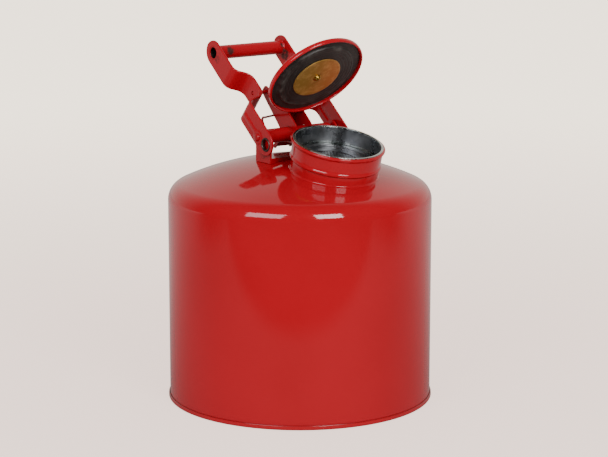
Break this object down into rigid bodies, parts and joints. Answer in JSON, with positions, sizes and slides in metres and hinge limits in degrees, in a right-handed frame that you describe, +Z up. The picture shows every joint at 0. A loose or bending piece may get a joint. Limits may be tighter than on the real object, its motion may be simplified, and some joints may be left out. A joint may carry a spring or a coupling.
{
  "type": "safety gas can",
  "caption": "Red enamelled steel safety can with a round shouldered body, a wide tilted neck with a flame arrester, a gasketed swing lid and a strap carrying handle.",
  "frame": {"origin": "on the can's axis, in the plane that the bottom chime stands on", "axes": "+Z up along the can's axis; +X along the hinge pin; -Y towards the neck and the pouring side"},
  "size_m": [0.3174, 0.3174, 0.4382],
  "materials": {
    "red_enamel_body": "gloss",
    "red_enamel_hardware": "satin gloss",
    "galvanised_steel": "dull zinc",
    "brass": "tarnished",
    "black_rubber": "matt"
  },
  "bodies": {
    "can": {"body_shell": "red_enamel_body", "side_seam": "red_enamel_body", "bottom_chime": "red_enamel_body", "base_pan": "red_enamel_body", "neck_collar": "red_enamel_body", "neck_foot": "red_enamel_body", "neck_liner": "galvanised_steel", "arrester_ring": "galvanised_steel", "flame_arrester": "galvanised_steel", "hinge_bracket": "red_enamel_body", "hinge_pin": "galvanised_steel", "pin_head_left": "red_enamel_hardware", "pin_head_right": "red_enamel_hardware", "ear_spacer_left": "galvanised_steel", "ear_spacer_right": "galvanised_steel"},
    "lid": {"lid_lever": "red_enamel_hardware", "lever_barrel": "red_enamel_hardware", "lid_spring": "red_enamel_hardware", "lid_cap": "red_enamel_hardware", "lid_gasket": "black_rubber", "gasket_retainer": "brass", "lid_stud": "brass", "lid_nut": "brass", "stud_washer": "galvanised_steel"},
    "handle": {"handle_strap_left": "red_enamel_hardware", "handle_strap_right": "red_enamel_hardware", "strap_eyelet_left": "galvanised_steel", "strap_eyelet_right": "galvanised_steel", "handle_grip": "red_enamel_hardware", "waist_rod": "red_enamel_hardware"}
  },
  "joints": [
    {"name": "handle_swing", "type": "hinge", "parent": "can", "child": "handle", "pos_m": [0, 0.0055, 0.3185], "axis": [1, 0, 0], "range_deg": [0, 62.8]},
    {"name": "lid_hinge", "type": "hinge", "parent": "can", "child": "lid", "pos_m": [0, 0.0055, 0.3185], "axis": [1, 0, 0], "range_deg": [0, 62.8]}
  ],
  "couplings": [
    {"joint": "lid_hinge", "follows": "handle_swing", "ratio": 1}
  ]
}
